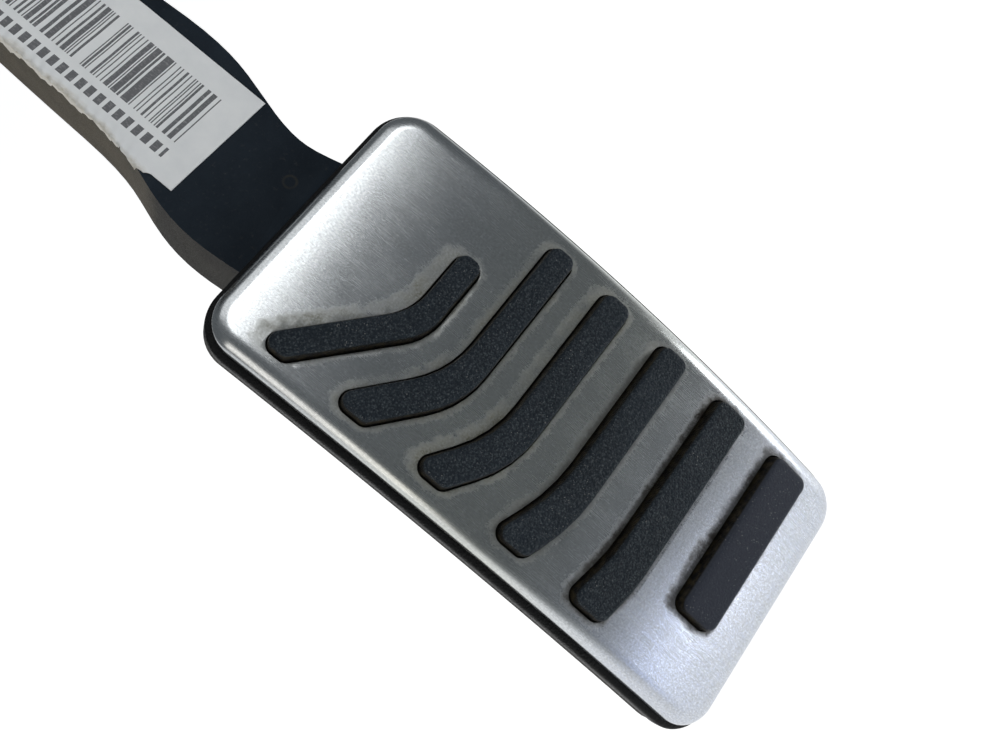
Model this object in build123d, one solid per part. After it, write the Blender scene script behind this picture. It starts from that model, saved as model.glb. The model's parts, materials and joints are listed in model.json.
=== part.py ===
from build123d import *
from math import cos, radians, sin, tan
import os

# Suspended electronic accelerator pedal of a car: a steel-faced rubber pad on a moulded arm,
# which hangs in a housing that bolts to the bulkhead. Millimetres.
# +Z is up, +Y points at the bulkhead and -Y at the driver. The origin is the centre of the
# vertical mounting face. Positions across the pedal are +X or -X from the arm's hub.

# ---- driving dimensions -----------------------------------------------------------------
LEAN = 30.0            # the pad leans this far back from upright, in degrees
PIVOT_Y = -40.0        # the shaft's axis runs along X through (PIVOT_Y, 0)
PIVOT_UP_PAD = 205.0   # from the pad's centre to the pivot, measured up the pad
PIVOT_BEHIND = 35.0    # and measured behind the pad's top face
PAD_SIDE_STEP = 5.0    # the pad's centre stands this far to -X of the hub

PAD_WIDTH, PAD_LENGTH, PAD_CORNER = 60.0, 124.0, 7.5
PAD_ARC = 343.0        # radius of the pad's crowned top face, about an axis along X
SHEET = 0.9            # steel sheet of the cover
RIM_DEPTH = 4.0        # the cover's rolled edge ends this far below the top face
ROLL = 2.6             # outer radius of the rolled edge
FIT_GAP = 0.05         # assembly gap between touching pieces
RUBBER_BOTTOM = -6.5
LIP_TOP = -4.1
LIP_PROUD = 1.5        # the rubber lip stands out past the steel
BACKING_BOTTOM = -7.7
FOOT_BOTTOM = -10.7
FOOT_FLANGE_BOTTOM = -13.5
FOOT_PROUD, FLANGE_WALL = 0.8, 2.0
RIB_HEIGHT, RIB_EDGE, RIB_GAP = 2.6, 0.8, 0.35
LEFT_END, RIGHT_END = -25.8, 25.8

# Each tread rib: upper and lower edge down the pad, right end, left end, angle of the part
# that bends up to the left, where the upper and lower edges bend, and the bend's radius.
TREAD_RIBS = [
    (-34.8, -28.8, 12.4, LEFT_END, 40.0, -3.2, -5.7, 12.0),
    (-22.4, -15.9, RIGHT_END, LEFT_END, 39.0, -7.5, -11.2, 20.0),
    (-8.7, -1.4, RIGHT_END, LEFT_END, 34.5, -11.4, -13.9, 24.0),
    (6.6, 14.2, RIGHT_END, LEFT_END, 21.5, -12.0, -15.1, 36.0),
    (22.8, 31.5, RIGHT_END, LEFT_END, 11.5, -13.5, -17.0, 40.0),
    (40.2, 50.7, RIGHT_END, -13.1, 0.0, 0.0, 0.0, 0.0),
]
RIB_END_RADIUS = 2.5

TAB_WIDTH, TAB_HOOK = 7.0, 5.0
TAB_STATIONS = (-42.0, 0.0, 42.0)
PAD_SCREWS = [(-22.0, -35.0), (22.0, -35.0), (0.0, 52.0)]
PAD_SCREW_R, PAD_SCREW_HOLE_R, PAD_SCREW_HEAD_R, PAD_SCREW_HEAD = 1.45, 1.7, 3.2, 2.0

# The arm's front outline in the pad's frame, (across, up), from the foot to the hub.
ARM_RIGHT = [(9, -46), (12, -20), (16.5, 30), (15.0, 62), (13.2, 71), (14.8, 80.5), (18.1, 91.3),
             (19.3, 101), (19.1, 112), (18.0, 130), (16.5, 150), (16.5, 206)]
ARM_LEFT = [(-9, -46), (-12, -20), (-15.2, 30), (-15.4, 62), (-16.0, 72), (-15.2, 80),
            (-13.4, 86.3), (-11.0, 93), (-9.4, 101), (-8.6, 112), (-7.6, 130), (-6.5, 150),
            (-6.5, 206)]
# and its back edge in side view, (up, behind the pad's top face)
ARM_BACK = [(-46, -15.5), (0, -21), (40, -32), (66, -37.5), (95, -41.5), (127, -46), (165, -47.5),
            (210.5, -44.5)]
ARM_FACE_UP, ARM_FACE_Z, ARM_FACE_SLOPE = 62.0, -15.0, -0.2
ARM_FACE_ENDS = (36.0, 140.0)
ARM_WALL, ARM_SKIN, ARM_RIB = 2.6, 3.0, 1.8
ARM_RIB_PITCH, ARM_RIB_ANGLE, ARM_RIB_INSET = 22.0, 48.0, 1.5
STOP_PAD_UP, STOP_PAD_LENGTH, STOP_PAD_DEPTH = 153.5, 16.0, 8.0

HUB_R, HUB_HALF = 11.0, 11.5
TAIL_R, TAIL_DROP = 22.5, 8.0   # the tail pin's distance from the pivot, and its fall in degrees
TAIL_PIN_R, TAIL_PIN_HALF, TAIL_HALF, TAIL_HALF_HEIGHT = 3.0, 10.0, 6.0, 2.6

LABEL_WIDTH, LABEL_THICK, LABEL_TURN = 26.0, 0.2, 1.8
LABEL_RIGHT, LABEL_ENDS = 14.6, (82.0, 138.0)

CAVITY_HALF, CHEEK = 13.5, 3.5
HOUSING_HALF = CAVITY_HALF + CHEEK
NOSE_R = 22.0
HOUSING_TOP, HOUSING_BOTTOM, HOUSING_SOLE, HOUSING_CROWN = 42.0, -62.0, -36.0, -32.0
BACK_PLATE, MOUTH_TOP = 5.0, -8.0
STOP_FACE, STOP_WALL, STOP_WALL_TOP, STOP_BUMPER = -32.5, 3.5, -44.0, 5.6
SHELF_BOTTOM, SHELF_TOP, SHELF_FRONT = -16.0, -12.0, -26.0
BOLTS = [(-26.0, 32.0), (26.0, 32.0), (26.0, -50.0)]
BOLT_R, SLEEVE_R, BOSS_R, BOSS_DEPTH = 3.3, 5.2, 9.0, 8.0
GUSSET, GUSSET_REACH = 2.4, -26.0

SHAFT_R, RUN_GAP = 4.0, 0.05
BUSH_R, BUSH_FLANGE_R, BUSH_FLANGE = 6.0, 8.0, 1.0
WASHER_R, WASHER = 10.0, 0.8
SHAFT_LEFT, SHAFT_RIGHT = -22.0, 16.6
CAP_R, CAP_THICK = 7.5, 1.6

CHAMBER_Y, CHAMBER_Z, CHAMBER_SIZE, CHAMBER_CORNER, CHAMBER_WALL = -37.0, 3.0, 42.0, 6.0, 2.4
CHAMBER_X = -30.0      # the chamber's rim, where the cover sits
COVER = 3.0
COVER_SCREW_INSET, COVER_SCREW_BOSS = 5.0, 3.6
COVER_SCREW_R, COVER_SCREW_HEAD_R, COVER_SCREW_HEAD, COVER_SCREW_DEPTH = 1.45, 3.0, 2.2, 7.0
SEAL_WIDTH, SEAL_DEPTH = 1.2, 0.8
CARRIER_R, CARRIER_X = 9.0, (-18.5, -22.0)
MAGNET_R, MAGNET_HOLE_R, MAGNET = 8.5, 5.0, 2.5
BOARD_WIDTH, BOARD_Z, BOARD, BOARD_X = 26.0, (-9.0, 16.0), 1.6, -27.2
CHIP, CHIP_SPACING = 4.0, 6.0
SOCKET_Z, SOCKET_WIDTH, SOCKET_HEIGHT, SOCKET_DEPTH, SOCKET_WALL = 13.0, 24.0, 14.0, 16.0, 1.8
PINS, PIN_PITCH, PIN_WIDE, PIN_HIGH, PIN_TIP = 6, 3.2, 1.2, 0.6, -45.0

SEAT_R, SEAT_BOTTOM, SEAT_TOP = 9.2, 5.0, 7.5    # heights above the tail pin
SEAT_LEG, SEAT_LEG_GAP, SEAT_BOSS_R, SEAT_BOSS = 3.2, 0.4, 3.8, 4.0
OUTER_SPRING = (7.8, 1.6, 6.0)    # mean radius, wire diameter, turns
INNER_SPRING = (5.0, 1.2, 8.0)

# ---- places worked out from them --------------------------------------------------------
UP_PAD = Vector(0, sin(radians(LEAN)), cos(radians(LEAN)))
OUT_OF_PAD = Vector(0, -cos(radians(LEAN)), sin(radians(LEAN)))
PIVOT = Vector(0, PIVOT_Y, 0)
PAD_CENTRE = (PIVOT - UP_PAD * PIVOT_UP_PAD + OUT_OF_PAD * PIVOT_BEHIND
              - Vector(PAD_SIDE_STEP, 0, 0))
PAD = Plane(origin=PAD_CENTRE, x_dir=(1, 0, 0), z_dir=OUT_OF_PAD)
TAIL_Y = PIVOT_Y + TAIL_R * cos(radians(TAIL_DROP))
TAIL_Z = -TAIL_R * sin(radians(TAIL_DROP))
SPRING_FOOT = TAIL_Z + SEAT_TOP
SPRING_HEAD = HOUSING_TOP - CHEEK
COVER_FACE = CHAMBER_X - COVER
COVER_SCREWS = [(CHAMBER_Y + i * (CHAMBER_SIZE / 2 - COVER_SCREW_INSET),
                 CHAMBER_Z + j * (CHAMBER_SIZE / 2 - COVER_SCREW_INSET))
                for i in (-1, 1) for j in (-1, 1)]
PIN_PLACES = [CHAMBER_Y + (k - (PINS - 1) / 2) * PIN_PITCH for k in range(PINS)]


# ---- shared helpers ---------------------------------------------------------------------
def span(sketch, x_from, x_to):
    """Extrude a (y, z) sketch along X from one place to another."""
    return Pos(min(x_from, x_to), 0, 0) * extrude(Plane.YZ * sketch, abs(x_to - x_from))


def disc(y, z, radius):
    return Pos(y, z) * Circle(radius)


def block(x, y, z):
    """Box between two limits on each axis."""
    return Pos(x[0], y[0], z[0]) * Box(x[1] - x[0], y[1] - y[0], z[1] - z[0], align=Align.MIN)


def dish(w):
    """Everything under the crowned surface that lies w above the pad's top face."""
    return Pos(0, 0, -PAD_ARC) * Rot(0, 90, 0) * Cylinder(PAD_ARC + w, 3 * PAD_WIDTH)


def pad_layer(grow, low, high):
    """Slice of the pad between two crowned surfaces, its outline grown on every side."""
    outline = RectangleRounded(PAD_WIDTH + 2 * grow, PAD_LENGTH + 2 * grow, PAD_CORNER + grow)
    return (Pos(0, 0, -40) * extrude(outline, 60) & dish(high)) - dish(low)


def round_top(solid, radius):
    """Round the edge of the solid's uppermost face."""
    return fillet(solid.faces().sort_by(Axis.Z)[-1].outer_wire().edges(), radius)


def on_crown(down, w):
    """Frame on the crowned surface, a distance down the pad and w above its top face."""
    turn = down / PAD_ARC
    return (Pos(0, -(PAD_ARC + w) * sin(turn), (PAD_ARC + w) * cos(turn) - PAD_ARC)
            * Rot(down / PAD_ARC * 57.29578, 0, 0))


# ---- the pad ----------------------------------------------------------------------------
def rib_outline(upper, lower, right, left, angle, upper_bend, lower_bend, radius):
    """Outline of one tread rib's slot: straight, or bent up towards its left end."""
    top, bottom = (-PAD_ARC * sin(s / PAD_ARC) for s in (upper, lower))
    if angle == 0:
        centre = Pos((left + right) / 2, (top + bottom) / 2)
        return centre * RectangleRounded(right - left, top - bottom, RIB_END_RADIUS)
    rise = tan(radians(angle))
    corners = [(left, top + (upper_bend - left) * rise), (upper_bend, top), (right, top),
               (right, bottom), (lower_bend, bottom), (left, bottom + (lower_bend - left) * rise)]
    radii = [RIB_END_RADIUS, radius, RIB_END_RADIUS, RIB_END_RADIUS, radius, RIB_END_RADIUS]
    return make_face(FilletPolyline(*corners, radius=radii, close=True))


def cover_tabs(gap):
    """Tabs that run down from the cover's sides and hook under the backing plate."""
    tabs = []
    drop = RIM_DEPTH - 1 - BACKING_BOTTOM - RIM_DEPTH + 1
    for down in TAB_STATIONS:
        for side in (-1, 1):
            leg = Pos(side * (PAD_WIDTH / 2 - SHEET / 2), 0, -(drop + 1 + SHEET) / 2 - 1) * Box(
                SHEET + 2 * gap, TAB_WIDTH + 2 * gap, drop + SHEET - 1 + 2 * gap)
            hook = Pos(side * (PAD_WIDTH / 2 - TAB_HOOK / 2), 0, BACKING_BOTTOM - SHEET / 2) * Box(
                TAB_HOOK + 2 * gap, TAB_WIDTH + 2 * gap, SHEET)
            tabs += [on_crown(down, 0) * leg, on_crown(down, 0) * hook]
    return tabs


def pad_cover():
    outer = round_top(pad_layer(0, -RIM_DEPTH, 0), ROLL)
    inner = round_top(pad_layer(-SHEET, -RIM_DEPTH - 2, -SHEET), ROLL - SHEET)
    cover = outer - inner
    for rib in TREAD_RIBS:
        cover -= Pos(0, 0, -20) * extrude(rib_outline(*rib), 30)
    for tab in cover_tabs(0):
        cover += tab
    return PAD * cover


def tread_rubber():
    mat = round_top(pad_layer(-SHEET - FIT_GAP, RUBBER_BOTTOM, -SHEET - FIT_GAP), ROLL - SHEET)
    lip = (pad_layer(LIP_PROUD, BACKING_BOTTOM, LIP_TOP)
           - pad_layer(-SHEET - 3 * FIT_GAP, BACKING_BOTTOM - 1, RUBBER_BOTTOM))
    rubber = mat + lip
    for rib in TREAD_RIBS:
        outline = offset(rib_outline(*rib), -RIB_GAP)
        bar = (Pos(0, 0, -20) * extrude(outline, 40) & dish(RIB_HEIGHT)) - dish(-2 * SHEET)
        rubber += round_top(bar, RIB_EDGE)
    for tab in cover_tabs(FIT_GAP):
        rubber -= tab
    return PAD * rubber


def backing_plate():
    plate = pad_layer(-SHEET - 5 * FIT_GAP, BACKING_BOTTOM, RUBBER_BOTTOM)
    for across, down in PAD_SCREWS:
        plate -= on_crown(down, 0) * Pos(across, 0, RUBBER_BOTTOM) * Cylinder(PAD_SCREW_R, 4)
    return PAD * plate


def pad_screws():
    screws = []
    length = RUBBER_BOTTOM - FOOT_BOTTOM
    for across, down in PAD_SCREWS:
        shank = Cylinder(PAD_SCREW_R, length, align=(Align.CENTER, Align.CENTER, Align.MIN))
        head = Cylinder(PAD_SCREW_HEAD_R, PAD_SCREW_HEAD,
                        align=(Align.CENTER, Align.CENTER, Align.MAX))
        head -= Pos(0, 0, -PAD_SCREW_HEAD) * extrude(RegularPolygon(1.6, 6), 1.2)
        place = on_crown(down, 0) * Pos(across, 0, FOOT_BOTTOM - FIT_GAP)
        screws.append(place * (shank + head))
    return PAD * Compound(screws)


# ---- the arm ----------------------------------------------------------------------------
def arm_face_z(up):
    return ARM_FACE_Z + ARM_FACE_SLOPE * (up - ARM_FACE_UP)


def arm_outline(inset):
    """Front view of the arm, extruded along the pad's own depth."""
    right = Spline(*[(x - inset, y) for x, y in ARM_RIGHT])
    left = Spline(*[(x + inset, y) for x, y in ARM_LEFT])
    outline = make_face([right, left, Line(right @ 0, left @ 0), Line(right @ 1, left @ 1)])
    return Pos(0, 0, -70) * extrude(outline, 90)


def arm_side(skin, low, high, open_back):
    """Side view of the arm between two heights, behind its front face by a skin."""
    start, bend = ARM_FACE_ENDS
    hub = (PIVOT_UP_PAD - HUB_R * sin(radians(LEAN)), -PIVOT_BEHIND + HUB_R * cos(radians(LEAN)))
    foot = Line((ARM_BACK[0][0], FOOT_BOTTOM + 2 - skin), (start, arm_face_z(start) - skin))
    face = Line(foot @ 1, (bend, arm_face_z(bend) - skin))
    neck = TangentArc(face @ 1, (hub[0], hub[1] - skin), tangent=(1, ARM_FACE_SLOPE))
    if open_back:
        back = Line((ARM_BACK[0][0], -80), (hub[0], -80))
    else:
        back = Spline(*ARM_BACK)
    side = make_face([foot, face, neck, back, Line(foot @ 0, back @ 0), Line(neck @ 1, back @ 1)])
    profile = extrude(Plane.YZ * side, 40, both=True)
    return profile & block((-40, 40), (low, high), (-90, 20))


def arm_ribs(pocket):
    """Zigzag stiffening ribs across the channel in the arm's back."""
    side = arm_side(ARM_SKIN - 0.5, ARM_BACK[0][0], PIVOT_UP_PAD, False)
    ribs = []
    count = int((PIVOT_UP_PAD - ARM_BACK[0][0]) / ARM_RIB_PITCH)
    for k in range(count):
        turn = ARM_RIB_ANGLE if k % 2 else -ARM_RIB_ANGLE
        place = Pos(1, ARM_BACK[0][0] + (k + 0.6) * ARM_RIB_PITCH, -30)
        rib = place * Rot(0, 0, turn) * Box(50, ARM_RIB, 60)
        ribs.append((rib & pocket) & Pos(0, 0, ARM_RIB_INSET) * side)
    return ribs


def foot_plate():
    plate = pad_layer(FOOT_PROUD, FOOT_BOTTOM, BACKING_BOTTOM)
    flange = (pad_layer(FOOT_PROUD, FOOT_FLANGE_BOTTOM, FOOT_BOTTOM + 1)
              - pad_layer(FOOT_PROUD - FLANGE_WALL, FOOT_FLANGE_BOTTOM - 1, FOOT_BOTTOM + 2))
    return plate + flange


def hub_and_tail():
    hub = span(disc(PIVOT_Y, 0, HUB_R), -HUB_HALF, HUB_HALF)
    bar = Pos(PIVOT_Y, 0) * Rot(0, 0, -TAIL_DROP) * Pos(TAIL_R / 2, 0) * Rectangle(
        TAIL_R, 2 * TAIL_HALF_HEIGHT)
    pin = disc(TAIL_Y, TAIL_Z, TAIL_PIN_R)
    return hub + span(bar, -TAIL_HALF, TAIL_HALF) + span(pin, -TAIL_PIN_HALF, TAIL_PIN_HALF)


def pedal_arm():
    body = arm_outline(0) & arm_side(0, ARM_BACK[0][0], PIVOT_UP_PAD + 6, False)
    low, high = ARM_BACK[0][0] + ARM_WALL, PIVOT_UP_PAD - HUB_R - 4
    pocket = arm_outline(ARM_WALL) & arm_side(ARM_SKIN, low, high, True)
    arm = body - pocket
    for rib in arm_ribs(pocket):
        arm += rib
    landing = (-PIVOT_BEHIND, STOP_PAD_UP)
    stop_pad = block((-40, 40), (landing[1] - STOP_PAD_LENGTH / 2, landing[1] + STOP_PAD_LENGTH / 2),
                     (-60, landing[0] - STOP_PAD_DEPTH / 2))
    arm += (body & pocket) & stop_pad
    arm -= pad_layer(LIP_PROUD + 0.3, BACKING_BOTTOM, 30)
    arm += foot_plate()
    for tab in cover_tabs(FIT_GAP):
        arm -= tab
    for across, down in PAD_SCREWS:
        arm -= on_crown(down, 0) * Pos(across, 0, FOOT_BOTTOM) * Cylinder(PAD_SCREW_HOLE_R, 12)
    arm = PAD * arm + hub_and_tail()
    return arm - span(disc(PIVOT_Y, 0, SHAFT_R + 0.01), -30, 30)


def part_label():
    low, high = LABEL_ENDS
    corner = Pos(LABEL_RIGHT, low) * Rot(0, 0, -LABEL_TURN)
    sheet = corner * Pos(-LABEL_WIDTH / 2, (high - low) / 2) * Rectangle(LABEL_WIDTH, high - low)
    sheet = Pos(0, 0, -60) * extrude(sheet, 80)
    front = arm_side(-LABEL_THICK, low - 5, high + 5, False)
    return PAD * (sheet & front & arm_outline(0.3) - arm_side(0, low - 5, high + 5, True))


# ---- what turns with the arm ------------------------------------------------------------
def pivot_shaft():
    return span(disc(PIVOT_Y, 0, SHAFT_R), SHAFT_LEFT, SHAFT_RIGHT)


def friction_washers():
    ring = disc(PIVOT_Y, 0, WASHER_R) - disc(PIVOT_Y, 0, SHAFT_R + 0.3)
    return Compound([span(ring, side * HUB_HALF, side * (HUB_HALF + WASHER)) for side in (-1, 1)])


def magnet_carrier():
    near, far = CARRIER_X
    rim = disc(PIVOT_Y, 0, CARRIER_R) - disc(PIVOT_Y, 0, SHAFT_R + 0.01)
    return span(rim, near, far) + span(disc(PIVOT_Y, 0, MAGNET_HOLE_R - 0.1), far, far - MAGNET)


def ring_magnet():
    ring = disc(PIVOT_Y, 0, MAGNET_R) - disc(PIVOT_Y, 0, MAGNET_HOLE_R)
    return span(ring, CARRIER_X[1], CARRIER_X[1] - MAGNET)


# ---- the housing and what is fixed in it ------------------------------------------------
def housing_side():
    """Side view of the housing: a round nose about the pivot, and an upright back."""
    back = Polygon((HOUSING_SOLE, HOUSING_BOTTOM), (0, HOUSING_BOTTOM), (0, HOUSING_TOP),
                   (HOUSING_CROWN, HOUSING_TOP), align=None)
    return make_hull(disc(PIVOT_Y, 0, NOSE_R).edges() + back.edges())


def chamber_outline(inset):
    side = CHAMBER_SIZE - 2 * inset
    return Pos(CHAMBER_Y, CHAMBER_Z) * RectangleRounded(side, side, CHAMBER_CORNER - inset)


def mounting_ears():
    """Ears for the three bolts, each with a boss about its sleeve."""
    ears = []
    for x, z in BOLTS:
        ear = Pos(x / 2, z) * Rectangle(abs(x), 2 * BOSS_R) + Pos(x, z) * Circle(BOSS_R)
        ears.append(extrude(Plane.XZ * ear, BACK_PLATE))
        ears.append(extrude(Plane.XZ * Pos(x, z) * Circle(BOSS_R), BOSS_DEPTH))
    return ears


def gussets():
    """Webs from the ears' edges to the cheeks."""
    wing = Polygon((HOUSING_HALF - 1, 1 - BACK_PLATE), (HOUSING_HALF + BOSS_R, 1 - BACK_PLATE),
                   (HOUSING_HALF - 1, GUSSET_REACH), align=None)
    webs = []
    for x, z in BOLTS:
        for edge in (z - BOSS_R, z + BOSS_R - GUSSET):
            web = Pos(0, 0, edge) * extrude(wing, GUSSET)
            if x > 0:
                webs.append(web)
            elif edge > z:
                webs.append(mirror(web, about=Plane.YZ))
    return webs


def housing():
    shell = span(housing_side(), -HOUSING_HALF, HOUSING_HALF)
    inside = span(offset(housing_side(), -CHEEK), -CAVITY_HALF, CAVITY_HALF)
    inside &= block((-20, 20), (-90, -BACK_PLATE), (-90, 90))
    mouth = block((-CAVITY_HALF, CAVITY_HALF), (-90, STOP_FACE), (-80, MOUTH_TOP))
    across = (-CAVITY_HALF - 1, CAVITY_HALF + 1)
    stop = block(across, (STOP_FACE, STOP_FACE + STOP_WALL), (HOUSING_BOTTOM, STOP_WALL_TOP))
    stop += block((-1.5, 1.5), (STOP_FACE, -1), (HOUSING_BOTTOM, STOP_WALL_TOP - 3))
    shelf = block(across, (SHELF_FRONT, -1), (SHELF_BOTTOM, SHELF_TOP))
    chamber = span(chamber_outline(0), -CAVITY_HALF, CHAMBER_X)
    hollow = span(chamber_outline(CHAMBER_WALL), -HOUSING_HALF, CHAMBER_X - 1)
    for y, z in COVER_SCREWS:
        hollow -= span(disc(y, z, COVER_SCREW_BOSS), -HOUSING_HALF, CHAMBER_X - 1)
    body = shell + chamber - hollow - inside - mouth + stop + shelf
    for piece in mounting_ears() + gussets():
        body += piece
    for y, z in COVER_SCREWS:
        depth = CHAMBER_X + COVER_SCREW_DEPTH
        body -= span(disc(y, z, COVER_SCREW_R + FIT_GAP), depth, CHAMBER_X - 1)
    for bolt in BOLTS:
        body -= extrude(Plane.XZ * Pos(*bolt) * Circle(SLEEVE_R + FIT_GAP), 20, both=True)
    bore = disc(PIVOT_Y, 0, BUSH_R + 0.01)
    return body - span(bore, -HOUSING_HALF - 1, HOUSING_HALF + 1)


def mounting_sleeves():
    sleeves = []
    for bolt in BOLTS:
        ring = Circle(SLEEVE_R) - Circle(BOLT_R)
        sleeves.append(extrude(Plane.XZ * Pos(*bolt) * ring, BOSS_DEPTH))
    return Compound(sleeves)


def pivot_bushes():
    bushes = []
    for side in (-1, 1):
        sleeve = span(disc(PIVOT_Y, 0, BUSH_R), side * CAVITY_HALF, side * HOUSING_HALF)
        flange = disc(PIVOT_Y, 0, BUSH_FLANGE_R)
        bush = sleeve + span(flange, side * (CAVITY_HALF - BUSH_FLANGE), side * CAVITY_HALF)
        bushes.append(bush - span(disc(PIVOT_Y, 0, SHAFT_R + RUN_GAP), side * 10, side * 20))
    return Compound(bushes)


def shaft_end_cap():
    plug = span(disc(PIVOT_Y, 0, BUSH_R - 0.1) - disc(PIVOT_Y, 0, BUSH_R - 1.2),
                HOUSING_HALF, HOUSING_HALF + 0.5)
    return span(disc(PIVOT_Y, 0, CAP_R), HOUSING_HALF, HOUSING_HALF + CAP_THICK) + plug


def idle_stop_bumper():
    top = TAIL_Z - TAIL_PIN_R - 0.3
    bumper = block((-5, 5), (TAIL_Y - 4.5, TAIL_Y + 4.5), (SHELF_TOP, top))
    return fillet(bumper.edges().filter_by(Axis.Z), 1.5)


def full_stop_bumper():
    sides = (1 - CAVITY_HALF, CAVITY_HALF - 1)
    bumper = block(sides, (STOP_FACE - STOP_BUMPER, STOP_FACE), (-58, STOP_WALL_TOP - 1))
    return fillet(bumper.edges().filter_by(Axis.Y), 2.0)


def terminals(gap):
    pins = []
    for y in PIN_PLACES:
        pin = Pos(y, SOCKET_Z) * Rectangle(PIN_WIDE + 2 * gap, PIN_HIGH + 2 * gap)
        pins.append(span(pin, BOARD_X + 0.8, PIN_TIP))
    return pins


def circuit_board():
    low, high = BOARD_Z
    board = Pos(CHAMBER_Y, (low + high) / 2) * Rectangle(BOARD_WIDTH, high - low)
    board = span(board, BOARD_X, BOARD_X - BOARD)
    for pin in terminals(FIT_GAP):
        board -= pin
    return board


def hall_chips():
    chips = []
    for side in (-1, 1):
        chip = Pos(PIVOT_Y + side * CHIP_SPACING / 2, 0) * Rectangle(CHIP, CHIP + 1)
        chips.append(span(chip, BOARD_X, BOARD_X + 1.5))
    return Compound(chips)


def seal_ring():
    middle = CHAMBER_WALL / 2
    outer = chamber_outline(middle - SEAL_WIDTH / 2)
    return span(outer - chamber_outline(middle + SEAL_WIDTH / 2), CHAMBER_X, CHAMBER_X - SEAL_DEPTH)


def sensor_cover():
    plate = span(chamber_outline(0), CHAMBER_X, COVER_FACE)
    plate = fillet(plate.faces().sort_by(Axis.X)[0].edges(), 1.0)
    socket = Pos(CHAMBER_Y, SOCKET_Z) * RectangleRounded(SOCKET_WIDTH, SOCKET_HEIGHT, 2.5)
    hollow = offset(socket, -SOCKET_WALL)
    shroud = span(socket, COVER_FACE + 1, COVER_FACE - SOCKET_DEPTH)
    shroud -= span(hollow, COVER_FACE, COVER_FACE - SOCKET_DEPTH - 1)
    top = SOCKET_Z + SOCKET_HEIGHT / 2
    latch = Polygon((COVER_FACE - 12, top - 0.5), (COVER_FACE - 12, top + 1.6),
                    (COVER_FACE - 4, top - 0.5), align=None)
    latch = Pos(0, CHAMBER_Y + 3, 0) * extrude(Plane.XZ * latch, 6)
    cover = plate + shroud + latch
    for y in (-1, 1):
        post = disc(CHAMBER_Y + y * 10, BOARD_Z[0] + 3, 1.5)
        cover += span(post, BOARD_X - BOARD, CHAMBER_X)
    for y, z in COVER_SCREWS:
        cover -= span(disc(y, z, COVER_SCREW_R + 0.3), CHAMBER_X + 1, COVER_FACE - 1)
    for pin in terminals(FIT_GAP):
        cover -= pin
    return cover - seal_ring()


def sensor_cover_screws():
    screws = []
    for y, z in COVER_SCREWS:
        head = span(disc(y, z, COVER_SCREW_HEAD_R), COVER_FACE, COVER_FACE - COVER_SCREW_HEAD)
        head = fillet(head.faces().sort_by(Axis.X)[0].edges(), 0.9)
        drive = Pos(y, z) * (Rectangle(3.2, 0.8) + Rectangle(0.8, 3.2))
        head -= span(drive, COVER_FACE - COVER_SCREW_HEAD - 1, COVER_FACE - COVER_SCREW_HEAD + 1.3)
        depth = CHAMBER_X + COVER_SCREW_DEPTH - 0.5
        screws.append(head + span(disc(y, z, COVER_SCREW_R), COVER_FACE, depth))
    return Compound(screws)


# ---- the return springs -----------------------------------------------------------------
def spring_seat():
    plate = disc(0, TAIL_Y, SEAT_R)
    seat = Pos(0, 0, TAIL_Z + SEAT_BOTTOM) * extrude(plate, SEAT_TOP - SEAT_BOTTOM)
    boss = disc(0, TAIL_Y, SEAT_BOSS_R)
    seat += Pos(0, 0, SPRING_FOOT) * extrude(boss, SEAT_BOSS)
    for side in (-1, 1):
        inner = side * (TAIL_HALF + SEAT_LEG_GAP)
        leg = Pos(TAIL_Y, TAIL_Z + SEAT_BOTTOM / 2 + 0.5) * Rectangle(10, SEAT_BOTTOM + 1)
        leg = leg - disc(TAIL_Y, TAIL_Z, TAIL_PIN_R + RUN_GAP)
        seat += span(leg, inner, inner + side * SEAT_LEG)
    return seat


def coil_spring(radius, wire, turns):
    """Open coil between the seat and the housing's roof."""
    height = SPRING_HEAD - SPRING_FOOT - wire - 0.1
    path = Helix(height / turns, height, radius)
    section = Plane(origin=path @ 0, z_dir=path % 0) * Circle(wire / 2)
    coil = sweep(section, path=path, is_frenet=True)
    return Pos(0, TAIL_Y, SPRING_FOOT + wire / 2 + 0.05) * coil


PARTS = {
    "housing": housing, "mounting_sleeves": mounting_sleeves, "pivot_bushes": pivot_bushes,
    "idle_stop_bumper": idle_stop_bumper, "full_stop_bumper": full_stop_bumper,
    "sensor_cover": sensor_cover, "sensor_cover_seal": seal_ring,
    "sensor_cover_screws": sensor_cover_screws, "circuit_board": circuit_board,
    "hall_chips": hall_chips, "connector_terminals": lambda: Compound(terminals(0)),
    "shaft_end_cap": shaft_end_cap,
    "return_spring_outer": lambda: coil_spring(*OUTER_SPRING),
    "return_spring_inner": lambda: coil_spring(*INNER_SPRING),
    "pedal_arm": pedal_arm, "pivot_shaft": pivot_shaft, "friction_washers": friction_washers,
    "magnet_carrier": magnet_carrier, "ring_magnet": ring_magnet,
    "backing_plate": backing_plate, "tread_rubber": tread_rubber, "pad_cover": pad_cover,
    "pad_screws": pad_screws, "part_label": part_label, "spring_seat": spring_seat,
}

os.makedirs("parts", exist_ok=True)
for name, make in PARTS.items():
    export_step(make(), f"parts/{name}.step")
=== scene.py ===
import json
import math

import bmesh
import bpy
import numpy as np
from mathutils import Matrix, Vector


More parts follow.
